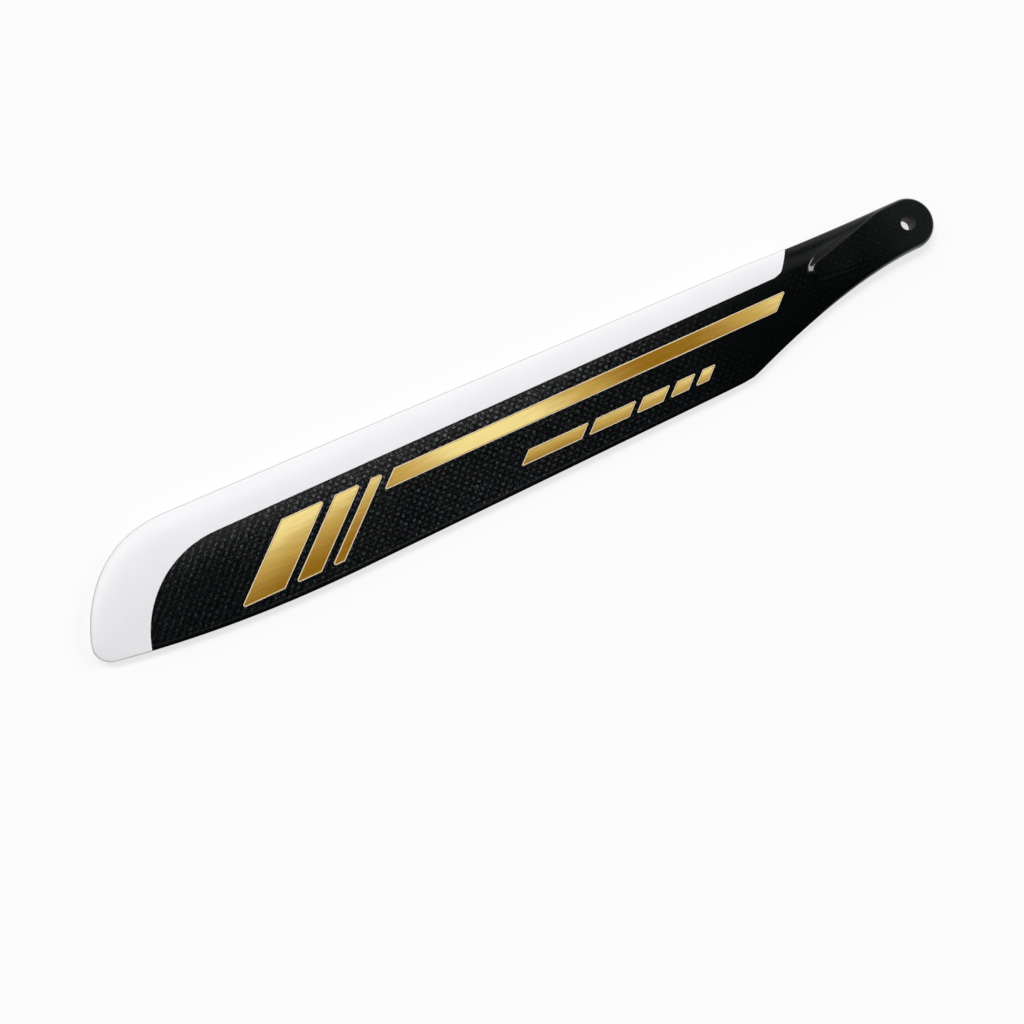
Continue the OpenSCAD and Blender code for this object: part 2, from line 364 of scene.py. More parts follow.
class MeshDraft:
    """Collects grids of points and turns them into one clean mesh."""

    def __init__(self) -> None:
        """Starts with no points."""
        self.points: list[Array] = []
        self.faces: list[tuple[int, ...]] = []
        self.slots: list[int] = []
        self.count = 0

    def grid(self, rows: Array, closed: bool = False, slot: int = 0) -> None:
        """Adds a grid of four-sided faces.

        Args:
            rows: Points in millimetres, as rows by columns by 3.
            closed: Whether the last column joins the first.
            slot: Material slot of the faces.
        """
        count, columns = rows.shape[:2]
        reach = columns if closed else columns - 1
        for i in range(count - 1):
            for j in range(reach):
                a = self.count + i * columns + j
                b = self.count + i * columns + (j + 1) % columns
                self.faces.append((a, b, b + columns, a + columns))
                self.slots.append(slot)
        self.points.append(rows.reshape(-1, 3) * MM)
        self.count += count * columns

    def build(self, name: str, materials: list[bpy.types.Material], sharp: float) -> bpy.types.Object:
        """Makes the object, with doubled points merged and normals outwards.

        Args:
            name: Name of the object and its mesh.
            materials: Materials in the order of the slots.
            sharp: Angle in degrees above which an edge is shaded sharp.

        Returns:
            The object, linked into the scene.
        """
        mesh = bpy.data.meshes.new(name)
        mesh.from_pydata(np.concatenate(self.points).tolist(), [], self.faces)
        mesh.polygons.foreach_set("material_index", self.slots)
        work = bmesh.new()
        work.from_mesh(mesh)
        bmesh.ops.remove_doubles(work, verts=work.verts, dist=MERGE_GAP)
        bmesh.ops.dissolve_degenerate(work, edges=work.edges, dist=MERGE_GAP)
        bmesh.ops.recalc_face_normals(work, faces=work.faces)
        work.to_mesh(mesh)
        work.free()
        for material in materials:
            mesh.materials.append(material)
        shade(mesh, sharp)
        return link(name, mesh)


def link(name: str, data: bpy.types.ID) -> bpy.types.Object:
    """Makes an object for a mesh, a lamp or a camera.

    Args:
        name: Name of the object.
        data: What the object shows.

    Returns:
        The object, linked into the scene.
    """
    thing = bpy.data.objects.new(name, data)
    bpy.context.scene.collection.objects.link(thing)
    return thing


def shade(mesh: bpy.types.Mesh, sharp: float) -> None:
    """Shades a mesh smooth, apart from its sharp edges.

    Args:
        mesh: The mesh to shade.
        sharp: Angle in degrees above which an edge is shaded sharp.
    """
    mesh.polygons.foreach_set("use_smooth", [True] * len(mesh.polygons))
    mesh.set_sharp_from_angle(angle=math.radians(sharp))
    mesh.update()


class NodeGraph:
    """A node tree, with short calls for the nodes that materials and the world share."""

    def __init__(self, owner: bpy.types.Material | bpy.types.World) -> None:
        """Starts with an empty tree.

        Args:
            owner: Material or world that the tree belongs to.
        """
        owner.use_nodes = True
        self.tree = owner.node_tree
        self.tree.nodes.clear()

    def node(self, kind: str, inputs: dict, **settings: object) -> bpy.types.Node:
        """Adds a node.

        Args:
            kind: Blender's name of the node type.
            inputs: Values or sockets for its inputs, by name or number.
            settings: Values for the node's own properties.

        Returns:
            The node.
        """
        made = self.tree.nodes.new(kind)
        for key, value in settings.items():
            setattr(made, key, value)
        for key, value in inputs.items():
            if isinstance(value, Socket):
                self.tree.links.new(value, made.inputs[key])
            else:
                made.inputs[key].default_value = value
        return made

    def split(self, vector: Socket) -> list[Socket]:
        """The three numbers of a vector."""
        return list(self.node("ShaderNodeSeparateXYZ", {0: vector}).outputs)

    def math(self, operation: str, *values: Socket | float) -> Socket:
        """One step of arithmetic, by Blender's name of the operation."""
        return self.node("ShaderNodeMath", dict(enumerate(values)), operation=operation).outputs[0]

    def ease(self, value: Socket, start: float, end: float, low: float = 0.0, high: float = 1.0) -> Socket:
        """Eases a number from low at the start to high at the end, held past both."""
        inputs = {"Value": value, "From Min": start, "From Max": end, "To Min": low, "To Max": high}
        return self.node("ShaderNodeMapRange", inputs, interpolation_type="SMOOTHSTEP").outputs[0]


class ShaderGraph(NodeGraph):
    """A material's node tree."""

    def __init__(self, name: str) -> None:
        """Starts an empty material of the given name."""
        self.material = bpy.data.materials.new(name)
        super().__init__(self.material)

    def place(self, scale: Triple) -> Socket:
        """Object coordinates in metres, times a scale along each axis."""
        metres = self.node("ShaderNodeTexCoord", {}).outputs["Object"]
        return self.node("ShaderNodeMapping", {"Vector": metres, "Scale": scale}).outputs["Vector"]

    def millimetres(self) -> Socket:
        """Object coordinates in millimetres."""
        return self.place((1.0 / MM, 1.0 / MM, 1.0 / MM))

    def noise(self, vector: Socket, scale: float, detail: float = 2.0) -> Socket:
        """Even noise between 0 and 1, with finer layers as its detail."""
        inputs = {"Vector": vector, "Scale": scale, "Detail": detail}
        return self.node("ShaderNodeTexNoise", inputs).outputs[0]

    def uneven(self, noise: Socket, low: float = 0.0, high: float = 1.0) -> Socket:
        """Spreads the usual values of a noise over a range."""
        return self.ease(noise, *NOISE_RANGE, low, high)

    def drift(self, vector: Socket, scale: float) -> Socket:
        """Noise with three numbers, each about 0.5, for moving coordinates."""
        return self.node("ShaderNodeTexNoise", {"Vector": vector, "Scale": scale, "Detail": 1.0}).outputs[1]

    def blend(self, factor: Socket, a: Socket | Colour, b: Socket | Colour) -> Socket:
        """Goes from colour a to colour b as the factor goes from 0 to 1."""
        ends = {key: end if isinstance(end, Socket) else (*end, 1.0) for key, end in ((6, a), (7, b))}
        return self.node("ShaderNodeMix", {0: factor, **ends}, data_type="RGBA").outputs[2]

    def bump(self, height: Socket, depth: float, strength: float) -> Socket:
        """Normal of a relief from heights between 0 and 1, with its depth in millimetres."""
        inputs = {"Height": height, "Distance": depth * MM, "Strength": strength}
        return self.node("ShaderNodeBump", inputs).outputs[0]

    def end(self, shader: bpy.types.Node) -> None:
        """Ends the material in a shader."""
        self.node("ShaderNodeOutputMaterial", {"Surface": shader.outputs[0]})


class Finish(ABC):
    """What all finishes share: one material that ends in a Principled surface."""

    name: str

    @abstractmethod
    def inputs(self, graph: ShaderGraph) -> dict:
        """Values or sockets of the surface, which each finish gives."""

    def material(self) -> bpy.types.Material:
        """Makes the material.

        Returns:
            The material.
        """
        graph = ShaderGraph(self.name)
        surface = graph.node("ShaderNodeBsdfPrincipled", self.inputs(graph))
        graph.end(surface)
        return graph.material


@dataclass(frozen=True)
class CarbonFinish(Finish):
    """Black carbon cloth under clear resin: light dots where a tow passes over its neighbours."""

    plan: Planform
    name: str = "carbon_cloth"
    tow: float = 2.70
    sway: float = 0.90
    lean: float = 0.80
    tip_start: float = 420.0
    tip_full: float = 520.0
    tip_dull: float = 0.54
    resin: Colour = (0.0008, 0.0015, 0.0017)
    # Painted sheen: the resin is lighter towards the root end, fading out along the span.
    root_sheen: Colour = (0.0072, 0.0105, 0.0090)
    root_sheen_full: float = -15.0
    root_sheen_end: float = 45.0
    dot: Colour = (0.150, 0.155, 0.163)
    contrast: float = 1.3
    roughness: Range = (0.13, 0.22)
    cloth_start: float = 120.0
    cloth_full: float = 300.0
    cloth_least: float = 0.05
    dots: float = 0.80
    cross_dots: float = 0.26
    glints: float = 0.36
    over_range: Range = (-0.35, 0.85)
    under_range: Range = (-0.30, -1.0)
    row_range: Range = (0.0, 0.9)
    patch_range: Range = (0.32, 0.68)
    glint_range: Range = (0.46, 0.80)
    row_least: float = 0.45
    patch_least: float = 0.30
    grain_least: float = 0.40
    sway_scale: float = 0.13
    patch_scale: float = 0.43
    grain_scale: float = 0.80
    cloud_scale: float = 0.03
    # Painted sheen of the cloth: full dot strength near the leading side, easing to a weaker share across
    # the rest of the face.
    sheen_y: float = 4.0
    sheen_gone_y: float = 24.0
    sheen_rest: float = 0.39
    edge_bare: float = 1.2
    edge_woven: float = 2.6
    # Painted highlight: a lighter streak where the trailing edge's bond line runs.
    seam_in: float = 2.7
    seam_half: float = 0.8
    seam_shine: float = 0.12

    def weave(self, graph: ShaderGraph, spot: Socket) -> Socket:
        """The cloth's dots, uneven in place and strength, which run into slanted rows near the tip.

        Args:
            graph: The material's graph.
            spot: Object coordinates in millimetres.

        Returns:
            Strength of the dots, from 0 to about 1.
        """
        run = graph.split(spot)
        turns = []
        for place, sway in zip(run[:2], graph.split(graph.drift(spot, self.sway_scale))[:2]):
            moved = graph.math("MULTIPLY_ADD", graph.math("SUBTRACT", sway, 0.5), 2.0 * self.sway, place)
            turns.append(graph.math("MULTIPLY", moved, math.pi / self.tow))
        rising = graph.math("COSINE", graph.math("SUBTRACT", *turns))
        falling = graph.math("COSINE", graph.math("ADD", *turns))
        lean = graph.ease(run[0], self.tip_start, self.tip_full, 0.5, self.lean)
        both = graph.math("MULTIPLY", lean, graph.math("ADD", rising, falling))
        wave = graph.math("SUBTRACT", both, falling)
        row = graph.math("ABSOLUTE", graph.math("SINE", turns[1]))
        row = graph.ease(row, *self.row_range, self.row_least, 1.0)
        over = graph.math("MULTIPLY", graph.ease(wave, *self.over_range, 0.0, self.dots), row)
        under = graph.ease(wave, *self.under_range, 0.0, self.cross_dots)
        patch = graph.noise(spot, self.patch_scale)
        patch = graph.ease(patch, *self.patch_range, self.patch_least, 1.0)
        grain = graph.noise(spot, self.grain_scale)
        dots = graph.math("MULTIPLY", graph.math("ADD", over, under), patch)
        dots = graph.math("MULTIPLY", dots, graph.uneven(grain, self.grain_least, 1.0))
        dots = graph.math("ADD", dots, graph.ease(grain, *self.glint_range, 0.0, self.glints))
        return graph.math("POWER", dots, self.contrast)

    def edge_gap(self, graph: ShaderGraph, run: list[Socket]) -> Socket:
        """Distance from the trailing edge.

        Args:
            graph: The material's graph.
            run: Object coordinates in millimetres, as three numbers.

        Returns:
            The distance in millimetres.
        """
        plan = self.plan
        straight = graph.math("MULTIPLY_ADD", run[0], plan.taper, plan.straight_te(0.0))
        past = graph.math("SUBTRACT", run[0], plan.span - plan.te_draw_len)
        share = graph.math("MAXIMUM", graph.math("DIVIDE", past, plan.te_draw_len), 0.0)
        share = graph.math("POWER", share, plan.draw_power)
        drawn = graph.math("MULTIPLY_ADD", share, -plan.te_draw, straight)
        return graph.math("SUBTRACT", drawn, run[1])

    def inputs(self, graph: ShaderGraph) -> dict:
        """Cloth that fades into plain resin at the root and the trailing edge.

        Args:
            graph: The material's graph.

        Returns:
            The surface.
        """
        spot = graph.millimetres()
        run = graph.split(spot)
        gap = self.edge_gap(graph, run)
        shown = graph.ease(run[0], self.cloth_start, self.cloth_full, self.cloth_least, 1.0)
        tip = graph.ease(run[0], self.tip_start, self.tip_full, 1.0, self.tip_dull)
        shown = graph.math("MULTIPLY", shown, tip)
        woven = graph.math("MULTIPLY", shown, graph.ease(gap, self.edge_bare, self.edge_woven))
        # Painted sheen: the dots are stronger near the leading side than across the rest of the face.
        woven = graph.math("MULTIPLY", woven, graph.ease(run[1], self.sheen_y, self.sheen_gone_y, 1.0, self.sheen_rest))
        dots = graph.math("MULTIPLY", self.weave(graph, spot), woven)
        # Painted highlight: a lighter streak a few millimetres in from the trailing edge, where the bond
        # line runs.
        off_seam = graph.math("ABSOLUTE", graph.math("SUBTRACT", gap, self.seam_in))
        seam_highlight = graph.math("MULTIPLY", graph.ease(off_seam, self.seam_half, 0.0, 0.0, self.seam_shine), shown)
        cloud = graph.noise(spot, self.cloud_scale)
        # Painted sheen: the resin lightens towards the root end.
        resin = graph.blend(graph.ease(run[0], self.root_sheen_end, self.root_sheen_full), self.resin, self.root_sheen)
        return {
            "Base Color": graph.blend(graph.math("MAXIMUM", dots, seam_highlight), resin, self.dot),
            "Roughness": graph.uneven(cloud, *self.roughness),
            "Specular IOR Level": 0.28,
            "Coat Weight": 0.20,
            "Coat Roughness": 0.08,
            "Normal": graph.bump(dots, depth=0.05, strength=0.30),
        }


@dataclass(frozen=True)
class CutLaminateFinish(Finish):
    """Bare wall of the bolt hole, where the drill shows the edges of the plies."""

    name: str = "cut_laminate"
    ply: float = 0.6
    resin: Colour = (0.018, 0.014, 0.008)
    fibre: Colour = (0.050, 0.040, 0.024)
    ply_range: Range = (-0.6, 0.8)
    grain_scale: float = 1.8
    grain_least: float = 0.4
    roughness: Range = (0.42, 0.58)

    def inputs(self, graph: ShaderGraph) -> dict:
        """Rough plies, lighter where the drill bares the fibre.

        Args:
            graph: The material's graph.

        Returns:
            The surface.
        """
        spot = graph.millimetres()
        ply = graph.math("SINE", graph.math("MULTIPLY", graph.split(spot)[2], 2.0 * math.pi / self.ply))
        grain = graph.noise(spot, self.grain_scale)
        shown = graph.ease(ply, *self.ply_range)
        mark = graph.math("MULTIPLY", shown, graph.uneven(grain, self.grain_least, 1.0))
        return {
            "Base Color": graph.blend(mark, self.resin, self.fibre),
            "Roughness": graph.uneven(grain, *self.roughness),
            "Specular IOR Level": 0.20,
            "Normal": graph.bump(mark, depth=0.04, strength=0.5),
        }


@dataclass(frozen=True)
class PaintFinish(Finish):
    """White paint with a faint orange peel, greyed round the outline as painted shade where the edge turns
    away from the light.
    """

    name: str = "white_gloss_paint"
    colour: Colour = (0.815, 0.810, 0.835)
    shade: Colour = (0.800, 0.793, 0.815)
    # Painted shade round the outline: grey right at the edge, fading to the paint's own white less than a
    # millimetre in.
    line: Colour = (0.50, 0.48, 0.46)
    line_core: float = 0.15
    line_end: float = 0.85
    cloud_scale: float = 0.028
    cloud_range: Range = (0.35, 0.7)
    peel_scale: float = 0.9
    roughness: Range = (0.39, 0.47)

    def inputs(self, graph: ShaderGraph) -> dict:
        """White with faint clouds, greyer at the outline.

        Args:
            graph: The material's graph.

        Returns:
            The surface.
        """
        spot = graph.millimetres()
        cloud = graph.ease(graph.noise(spot, self.cloud_scale, 3.0), *self.cloud_range)
        peel = graph.noise(spot, self.peel_scale, 1.0)
        gap = graph.node("ShaderNodeAttribute", {}, attribute_name=EDGE_GAP).outputs["Fac"]
        # Painted shade: the paint greys towards the outline.
        line = graph.ease(gap, self.line_end, self.line_core)
        return {
            "Base Color": graph.blend(line, graph.blend(cloud, self.colour, self.shade), self.line),
            "Roughness": graph.uneven(peel, *self.roughness),
            "Specular IOR Level": 0.25,
            "Coat Weight": 0.05,
            "Coat Roughness": 0.12,
            "Normal": graph.bump(peel, depth=0.01, strength=0.25),
        }


@dataclass(frozen=True)
class FoilFinish(Finish):
    """Gold foil with a painted reflection that comes and goes over its length or its width, with fine
    brushed streaks.
    """

    name: str
    peak: float
    cycle: float
    along_span: float
    across: float
    # Colours of the painted reflection, from its brightest through its middle to its darkest.
    bright: Colour = (0.97, 0.78, 0.30)
    middle: Colour = (0.60, 0.38, 0.080)
    deep: Colour = (0.305, 0.142, 0.004)
    streak_scale: Triple = (60.0, 900.0, 60.0)
    streak_range: Range = (0.25, 0.75)
    streak_shine: float = 0.12
    middle_range: Range = (-1.1, 0.1)
    bright_range: Range = (-0.1, 1.0)
    metal: float = 0.12
    roughness: Range = (0.29, 0.42)

    def inputs(self, graph: ShaderGraph) -> dict:
        """Gold from deep to bright along the wave of painted reflection.

        Args:
            graph: The material's graph.

        Returns:
            The surface.
        """
        # Painted reflection: a cosine wave of brightness along the span and across the foil, peaking at a
        # given place.
        turn = 2.0 * math.pi / (self.cycle * MM)
        run = graph.split(graph.place((turn * self.along_span, turn * self.across, turn)))
        phase = graph.math("SUBTRACT", graph.math("ADD", run[0], run[1]), self.peak * MM * turn)
        shine = graph.math("COSINE", phase)
        streak = graph.noise(graph.place(self.streak_scale), 1.0, 3.0)
        swing = graph.ease(streak, *self.streak_range, -self.streak_shine, self.streak_shine)
        shine = graph.math("ADD", shine, swing)
        low = graph.blend(graph.ease(shine, *self.middle_range), self.deep, self.middle)
        colour = graph.blend(graph.ease(shine, *self.bright_range), low, self.bright)
        return {
            "Base Color": colour,
            "Metallic": self.metal,
            "Specular IOR Level": 0.20,
            "Roughness": graph.uneven(streak, *self.roughness),
            "Normal": graph.bump(streak, depth=0.01, strength=0.25),
        }


@dataclass(frozen=True)
class TrimFinish(Finish):
    """Thin line round the foil: a pale printed edge, or a groove coloured dark."""

    name: str
    colour: Colour
    shade: Colour
    patch_scale: float = 0.09
    grain_scale: float = 1.5
    roughness: Range = (0.35, 0.50)

    def inputs(self, graph: ShaderGraph) -> dict:
        """Two shades in uneven patches.

        Args:
            graph: The material's graph.

        Returns:
            The surface.
        """
        spot = graph.millimetres()
        patch = graph.noise(spot, self.patch_scale, 3.0)
        grain = graph.noise(spot, self.grain_scale, 1.0)
        return {
            "Base Color": graph.blend(graph.uneven(patch), self.colour, self.shade),
            "Metallic": 0.3,
            "Roughness": graph.uneven(patch, *self.roughness),
            "Normal": graph.bump(grain, depth=0.01, strength=0.2),
        }


@dataclass(frozen=True)
class FloorFinish(Finish):
    """Matt pale paper under the object, lit from behind so that it shows as a white background."""

    name: str = "studio_paper"
    colour: Colour = (0.915, 0.915, 0.915)
    shade: Colour = (0.905, 0.905, 0.905)
    cloud_scale: float = 0.003
    fibre_scale: float = 0.6
    roughness: float = 0.75
    glow: float = 0.72

    def inputs(self, graph: ShaderGraph) -> dict:
        """Paper with faint clouds and fibres.

        Args:
            graph: The material's graph.

        Returns:
            The surface.
        """
        spot = graph.millimetres()
        cloud = graph.noise(spot, self.cloud_scale)
        fibre = graph.noise(spot, self.fibre_scale)
        return {
            "Base Color": graph.blend(cloud, self.colour, self.shade),
            "Roughness": self.roughness,
            "Specular IOR Level": 0.1,
            "Normal": graph.bump(fibre, depth=0.02, strength=0.2),
        }

    def material(self) -> bpy.types.Material:
        """Makes the material.

        Returns:
            The material, whose glow is seen but lights nothing.
        """
        graph = ShaderGraph(self.name)
        paper = graph.node("ShaderNodeBsdfPrincipled", self.inputs(graph)).outputs[0]
        white = graph.node("ShaderNodeEmission", {"Strength": 1.0}).outputs[0]
        path = graph.node("ShaderNodeLightPath", {}).outputs
        seen = graph.math("MAXIMUM", path["Is Camera Ray"], path["Is Glossy Ray"])
        seen = graph.math("MAXIMUM", seen, path["Is Transmission Ray"])
        share = graph.math("MULTIPLY", seen, self.glow)
        graph.end(graph.node("ShaderNodeMixShader", {0: share, 1: paper, 2: white}))
        return graph.material


@dataclass
class BladeSkin:
    """Carbon skin of the blade: both faces, the round root end and the bolt hole."""

    form: BladeForm
    wall: CutLaminateFinish = field(default_factory=CutLaminateFinish)
    name: str = "carbon_skin"
    pad_end: float = 90.0
    pad_steps: int = 236
    root_steps: int = 44
    mid_steps: int = 36
    tip_steps: int = 72
    face_steps: int = 104
    end_steps: int = 64
    flank_crowd: float = 12.0
    fine: int = 8
    even_rounds: int = 20
    bore_r: float = 4.5
    mouth_r: float = 0.8
    mouth_steps: int = 5
    bore_steps: int = 72
    cutter_reach: float = 2.0
    sharp: float = 38.0

    def stations(self) -> Array:
        """Span stations of the faces.

        Returns:
            The stations from the centre of the round end to the tip, closer together at both ends.
        """
        plan = self.form.plan
        pad = np.linspace(-plan.end_set, self.pad_end, self.pad_steps, endpoint=False)
        root = np.linspace(self.pad_end, plan.root_len, self.root_steps, endpoint=False)
        tip_start = plan.span - plan.te_draw_len
        middle = np.linspace(plan.root_len, tip_start, self.mid_steps, endpoint=False)
        quarter = np.linspace(0.0, math.pi / 2.0, self.tip_steps + 1)
        return np.concatenate([pad, root, middle, tip_start + plan.te_draw_len * np.sin(quarter)])

    def shares(self, x: Array) -> Array:
        """Chord shares of each station's points, closer together on the pad's flank.

        Args:
            x: Span stations, as a column.

        Returns:
            Shares as stations by chord steps.
        """
        plan = self.form.plan
        u = np.linspace(0.0, 1.0, self.face_steps * self.fine + 1)[None, :]
        share = mix((1.0 - np.cos(math.pi * u)) / 2.0, u * u, plan.fairing(x))
        fall = self.form.pad.fall(x, mix(plan.leading_edge(x), plan.trailing_edge(x), share))
        run = np.cumsum(1.0 + self.flank_crowd * fall * (1.0 - fall), axis=1)
        run = (run - run[:, :1]) / (run[:, -1:] - run[:, :1])
        for _ in range(self.even_rounds):
            run[1:-1] = (run[:-2] + 2.0 * run[1:-1] + run[2:]) / 4.0
        wanted = np.linspace(0.0, 1.0, self.face_steps + 1)
        return np.stack([np.interp(wanted, *pair) for pair in zip(run, share)])

    def face(self, side: Face) -> Array:
        """One face of the blade from the centre of the round end to the tip.

        Args:
            side: Which face.

        Returns:
            Points as stations by chord steps by 3.
        """
        plan = self.form.plan
        x = self.stations()[:, None]
        y = mix(plan.leading_edge(x), plan.trailing_edge(x), self.shares(x))
        x = np.broadcast_to(x, y.shape)
        return np.stack([x, y, side.value * self.form.half(x, y)], axis=2)

    def round_end(self, side: Face) -> Array:
        """The tab's round end, fanned out from its centre.

        Args:
            side: Which face.

        Returns:
            Points as angles by radii by 3, whose first and last rows are the face's first station.
        """
        first = self.face(side)[0]
        middle = self.face_steps // 2
        trailing = first[middle:][::-1]
        leading = first[: middle + 1]
        rows = []
        for share in np.linspace(0.0, 1.0, self.end_steps + 1):
            angle = math.pi * (0.5 + share)
            radius = mix(trailing[:, 1], -leading[:, 1], share)
            height = mix(trailing[:, 2], leading[:, 2], share)
            radius[-1] = 0.0
            x = radius * math.cos(angle) - self.form.plan.end_set
            rows.append(np.stack([x, radius * math.sin(angle), height], axis=1))
        rows[0] = trailing
        rows[-1] = leading
        ends = np.stack(rows)
        ends[:, -1] = first[middle]
        return ends

    def bore_cutter(self, materials: list[bpy.types.Material]) -> bpy.types.Object:
        """Turned tool that cuts the bolt hole with a round at both mouths.

        Args:
            materials: Materials in the order of the skin's slots.

        Returns:
            The tool's object.
        """
        top = self.form.plan.root_half
        quarter = np.linspace(0.0, math.pi / 2.0, self.mouth_steps + 1)
        radius = self.bore_r + self.mouth_r * (1.0 - np.cos(quarter))
        height = top - self.mouth_r * (1.0 - np.sin(quarter))
        radius = np.concatenate([[0.0, radius[-1]], radius[::-1]])
        height = np.concatenate([[top + self.cutter_reach] * 2, height[::-1]])
        radius = np.concatenate([radius, radius[::-1]])
        height = np.concatenate([height, -height[::-1]])
        angle = np.linspace(0.0, 2.0 * math.pi, self.bore_steps, endpoint=False)
        rows = np.stack(
            [
                radius[:, None] * np.cos(angle),
                radius[:, None] * np.sin(angle),
                np.repeat(height[:, None], len(angle), axis=1),
            ],
            axis=2,
        )
        draft = MeshDraft()
        draft.grid(rows, closed=True, slot=SkinZone.BORE.value)
        return draft.build("bore_cutter", materials, self.sharp)

    def cut_bore(self, skin: bpy.types.Object) -> None:
        """Cuts the bolt hole through the skin.

        Args:
            skin: The closed skin.
        """
        cutter = self.bore_cutter(list(skin.data.materials))
        cut = skin.modifiers.new("bolt_hole", "BOOLEAN")
        cut.operation = "DIFFERENCE"
        cut.solver = "EXACT"
        cut.object = cutter
        bpy.context.view_layer.update()
        seen = skin.evaluated_get(bpy.context.evaluated_depsgraph_get())
        mesh = bpy.data.meshes.new_from_object(seen)
        skin.modifiers.clear()
        solid = skin.data
        skin.data = mesh
        bpy.data.meshes.remove(solid)
        mesh.name = self.name
        tool = cutter.data
        bpy.data.objects.remove(cutter)
        bpy.data.meshes.remove(tool)
        shade(mesh, self.sharp)

    def build(self) -> bpy.types.Object:
        """Makes the skin with its material.

        Returns:
            The object.
        """
        draft = MeshDraft()
        for side in Face:
            draft.grid(self.face(side), slot=SkinZone.OUTSIDE.value)
            draft.grid(self.round_end(side), slot=SkinZone.OUTSIDE.value)
        upper, lower = self.face(Face.UPPER), self.face(Face.LOWER)
        draft.grid(np.stack([upper[:, -1], lower[:, -1]]), slot=SkinZone.OUTSIDE.value)
        materials = [CarbonFinish(self.form.plan).material(), self.wall.material()]
        skin = draft.build(self.name, materials, self.sharp)
        self.cut_bore(skin)
        return skin


@dataclass
class EdgePaint:
    """White paint that wraps the leading edge and covers the tip."""

    form: BladeForm
    finish: PaintFinish = field(default_factory=PaintFinish)
    name: str = "white_edge_paint"
    thickness: float = 0.20
    feather: float = 0.35
    sunk: float = 0.05
    edge_y: float = -3.5
    start_x: float = 84.0
    start_slant: float = 12.0
    corner_len: float = 5.0
    corner_power: float = 14.0
    corner_fade: float = 8.0
    turn_len: float = 98.0
    turn_r: float = 68.0
    edge_ribs: int = 96
    rib_crowd: float = 1.5
    tip_ribs: int = 120
    steps: int = 36
    outline_steps: int = 400
    inner_steps: int = 1600
    nose_turn: float = 2.0
    line_steps: int = 4000
    sharp: float = 50.0

    @property
    def turn_x(self) -> float:
        """Where the inner edge leaves its straight run."""
        return self.form.plan.span - self.turn_len

    def across(self, y: Array) -> Array:
        """Span places of the inner edge across the tip: a round turn, then straight on."""
        reach = np.minimum(self.turn_r, y - self.edge_y)
        return self.turn_x + np.sqrt(self.turn_r**2 - (self.turn_r - reach) ** 2)

    def inner_tip(self) -> Array:
        """The inner edge across the tip, inside the blade's outline.

        Returns:
            Points from the straight run to the trailing edge.
        """
        plan = self.form.plan
        y = np.linspace(self.edge_y, plan.straight_te(plan.span), self.inner_steps)
        x = self.across(y)
        inside = y < plan.trailing_edge(x)
        return np.stack([x[inside], y[inside]], axis=1)

    def outer_tip(self, end_x: float) -> Array:
        """The blade's outline round the tip.

        Args:
            end_x: Where the inner edge meets the trailing edge.

        Returns:
            Points from the leading edge round the tip to the trailing edge.
        """
        plan = self.form.plan
        quarter = np.sin(np.linspace(0.0, math.pi / 2.0, self.outline_steps))
        ahead = self.turn_x + self.turn_len * quarter
        back = end_x + (plan.span - end_x) * quarter[::-1]
        front = np.stack([ahead, plan.leading_edge(ahead)], axis=1)
        rear = np.stack([back, plan.trailing_edge(back)], axis=1)
        return np.concatenate([front, rear[1:]])

    def ribs(self) -> tuple[Array, Array, Array]:
        """Ribs of the paint, from the root end round to the trailing edge.

        Returns:
            The outline's points, the inner edge's points and the length of each rib's corner.
        """
        t = (np.arange(self.edge_ribs) / self.edge_ribs) ** self.rib_crowd
        x = mix(self.start_x, self.turn_x, t)
        outer = np.stack([x, self.form.plan.leading_edge(x)], axis=1)
        inner_x = mix(self.start_x + self.start_slant + self.corner_len, self.turn_x, t)
        inner = np.stack([inner_x, np.full_like(inner_x, self.edge_y)], axis=1)
        corner = self.corner_len * (1.0 - t) ** self.corner_fade
        inner_tip = self.inner_tip()
        shares = np.linspace(0.0, 1.0, self.tip_ribs + 1)
        outer = np.concatenate([outer, along(self.outer_tip(inner_tip[-1, 0]), shares)])
        inner = np.concatenate([inner, along(inner_tip, shares)])
        return outer, inner, np.concatenate([corner, np.zeros(len(shares))])

    def sheet(self, lift_nose: float, lift_edge: float) -> Array:
        """One sheet of the paint, off the carbon along the face's normal.

        Args:
            lift_nose: Distance from the carbon at the outline.
            lift_edge: Distance from the carbon at the inner edge.

        Returns:
            Points as ribs by steps by 3, from the lower face round the outline to the upper.
        """
        outer, inner, corner = self.ribs()
        step = np.arange(-self.steps, self.steps + 1)
        u = np.abs(step) / self.steps
        n = (u * u)[None, :, None]
        spots = outer[:, None] + (inner - outer)[:, None] * n
        spots[:, :, 0] -= corner[:, None] * (n - n**self.corner_power)[:, :, 0]
        way = outer - inner
        way = way / np.maximum(np.linalg.norm(way, axis=1, keepdims=True), LEAST_LENGTH)
        turn = np.minimum(1.0, self.nose_turn * u)
        lift = mix(lift_nose, lift_edge, u * u)
        height = np.sign(step) * (self.form.half(spots[:, :, 0], spots[:, :, 1]) + lift * turn)
        spots = spots + way[:, None] * (lift * np.sqrt(1.0 - turn**2))[None, :, None]
        return np.concatenate([spots, height[:, :, None]], axis=2)

    def mark_edge(self, mesh: bpy.types.Mesh) -> None:
        """Stores how far each point is from the outline, for the painted shade that greys the paint there.

        Args:
            mesh: The film's mesh.
        """
        outline = along(self.ribs()[0], np.linspace(0.0, 1.0, self.line_steps))
        tree = KDTree(len(outline))
        for i, (x, y) in enumerate(outline):
            tree.insert((x, y, 0.0), i)
        tree.balance()
        gaps = [tree.find((point.co.x / MM, point.co.y / MM, 0.0))[2] for point in mesh.vertices]
        mesh.attributes.new(EDGE_GAP, "FLOAT", "POINT").data.foreach_set("value", gaps)

